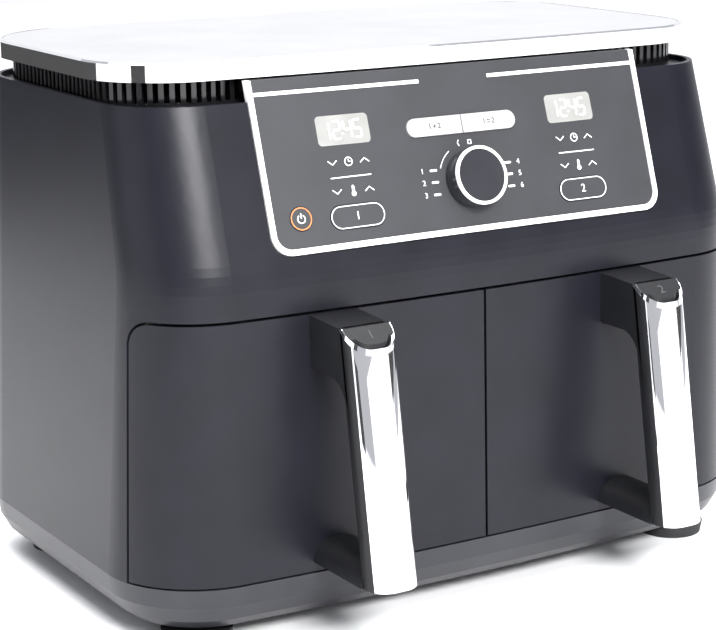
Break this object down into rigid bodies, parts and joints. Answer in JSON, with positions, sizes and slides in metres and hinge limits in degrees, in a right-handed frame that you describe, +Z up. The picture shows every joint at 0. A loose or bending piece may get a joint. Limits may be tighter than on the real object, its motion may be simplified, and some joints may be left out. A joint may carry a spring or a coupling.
{
  "type": "air fryer",
  "caption": "Countertop air fryer with side-by-side pull-out drawers, upright grips, a leaning control panel with a dial and keys, and a bright rimmed top plate over a vent ring.",
  "frame": {"origin": "on the resting surface, in the middle of the overall box", "axes": "+X to the right seen from the front, +Y to the back, +Z up"},
  "size_m": [0.415, 0.3308, 0.3156],
  "materials": {
    "charcoal_plastic": "satin moulded plastic, fine texture",
    "dark_plastic": "satin moulded plastic",
    "black_gloss_plastic": "gloss",
    "grip_plastic": "satin",
    "bright_chrome": "polished",
    "satin_steel": "finely brushed, satin",
    "panel_plastic": "satin film",
    "silver_key": "satin silver paint",
    "display_lens": "clear tinted lens over a lit display",
    "dial_plastic": "satin",
    "rubber_feet": "matt",
    "silicone": "matt silicone",
    "nonstick_coating": "ceramic non-stick coating on metal",
    "sheet_metal": "aluminised sheet",
    "heater_steel": "dull steel",
    "inner_plastic": "moulded",
    "circuit_board": "fibreglass board with parts",
    "screw_steel": "zinc plated"
  },
  "bodies": {
    "housing": {"base_screws": "screw_steel", "base_tray": "dark_plastic", "cavity_liner_1": "sheet_metal", "cavity_liner_2": "sheet_metal", "control_board": "circuit_board", "control_panel": "panel_plastic", "cord_inlet": "rubber_feet", "display_module_1": "inner_plastic", "display_module_2": "inner_plastic", "display_window_1": "display_lens", "display_window_2": "display_lens", "drawer_switch_1": "inner_plastic", "drawer_switch_2": "inner_plastic", "feet": "rubber_feet", "front_frame": "dark_plastic", "header_lines": "bright_chrome", "heat_divider": "sheet_metal", "heater_1": "heater_steel", "heater_2": "heater_steel", "housing_shell": "charcoal_plastic", "motor_1": "heater_steel", "motor_2": "heater_steel", "motor_cradle_1": "sheet_metal", "motor_cradle_2": "sheet_metal", "panel_trim": "bright_chrome", "power_board": "circuit_board", "rear_cover": "charcoal_plastic", "rear_screws": "screw_steel", "temperature_sensor_1": "heater_steel", "temperature_sensor_2": "heater_steel", "top_plate": "satin_steel", "top_rim": "bright_chrome", "vent_ring": "black_gloss_plastic"},
    "drawer_1": {"drawer_front_1": "charcoal_plastic", "basket_1": "nonstick_coating", "grip_1": "grip_plastic", "grip_cover_1": "bright_chrome"},
    "crisper_1": {"crisper_plate_1": "nonstick_coating", "crisper_feet_1": "silicone"},
    "fan_1": {"hot_air_fan_1": "sheet_metal", "cooling_fan_1": "inner_plastic"},
    "drawer_2": {"drawer_front_2": "charcoal_plastic", "basket_2": "nonstick_coating", "grip_2": "grip_plastic", "grip_cover_2": "bright_chrome"},
    "crisper_2": {"crisper_plate_2": "nonstick_coating", "crisper_feet_2": "silicone"},
    "fan_2": {"hot_air_fan_2": "sheet_metal", "cooling_fan_2": "inner_plastic"},
    "dial_spindle": {"dial_spindle": "screw_steel"},
    "dial": {"dial_knob": "dial_plastic", "dial_ring": "bright_chrome"},
    "power_key": {"power_key": "panel_plastic"},
    "zone_key_1": {"zone_key_1": "panel_plastic"},
    "zone_key_2": {"zone_key_2": "panel_plastic"},
    "sync_key": {"sync_key": "silver_key"},
    "match_key": {"match_key": "silver_key"}
  },
  "joints": [
    {"name": "drawer_1_slide", "type": "slide", "parent": "housing", "child": "drawer_1", "axis": [0, -1, 0], "range_m": [0, 0.21]},
    {"name": "crisper_1_lift", "type": "slide", "parent": "drawer_1", "child": "crisper_1", "axis": [0, 0, 1], "range_m": [0, 0.1]},
    {"name": "fan_1_spin", "type": "hinge", "parent": "housing", "child": "fan_1", "pos_m": [-0.0972, 0.045, 0.209], "axis": [0, 0, 1], "continuous": true},
    {"name": "drawer_2_slide", "type": "slide", "parent": "housing", "child": "drawer_2", "axis": [0, -1, 0], "range_m": [0, 0.21]},
    {"name": "crisper_2_lift", "type": "slide", "parent": "drawer_2", "child": "crisper_2", "axis": [0, 0, 1], "range_m": [0, 0.1]},
    {"name": "fan_2_spin", "type": "hinge", "parent": "housing", "child": "fan_2", "pos_m": [0.0972, 0.045, 0.209], "axis": [0, 0, 1], "continuous": true},
    {"name": "dial_press", "type": "slide", "parent": "housing", "child": "dial_spindle", "axis": [0, 0.9464, -0.3231], "range_m": [0, 0.0008], "stiffness_N_per_m": 900, "springref_m": -0.0006},
    {"name": "dial_turn", "type": "hinge", "parent": "dial_spindle", "child": "dial", "pos_m": [0, -0.0865, 0.2429], "axis": [0, -0.9464, 0.3231], "continuous": true},
    {"name": "power_key_press", "type": "slide", "parent": "housing", "child": "power_key", "axis": [0.0345, 0.9458, -0.3229], "range_m": [0, 0.0006], "stiffness_N_per_m": 700, "springref_m": -0.0006},
    {"name": "zone_key_1_press", "type": "slide", "parent": "housing", "child": "zone_key_1", "axis": [0.0239, 0.9461, -0.323], "range_m": [0, 0.0006], "stiffness_N_per_m": 700, "springref_m": -0.0006},
    {"name": "zone_key_2_press", "type": "slide", "parent": "housing", "child": "zone_key_2", "axis": [-0.0239, 0.9461, -0.323], "range_m": [0, 0.0006], "stiffness_N_per_m": 700, "springref_m": -0.0006},
    {"name": "sync_key_press", "type": "slide", "parent": "housing", "child": "sync_key", "axis": [0, 0.9464, -0.3231], "range_m": [0, 0.0006], "stiffness_N_per_m": 700, "springref_m": -0.0006},
    {"name": "match_key_press", "type": "slide", "parent": "housing", "child": "match_key", "axis": [0, 0.9464, -0.3231], "range_m": [0, 0.0006], "stiffness_N_per_m": 700, "springref_m": -0.0006}
  ]
}
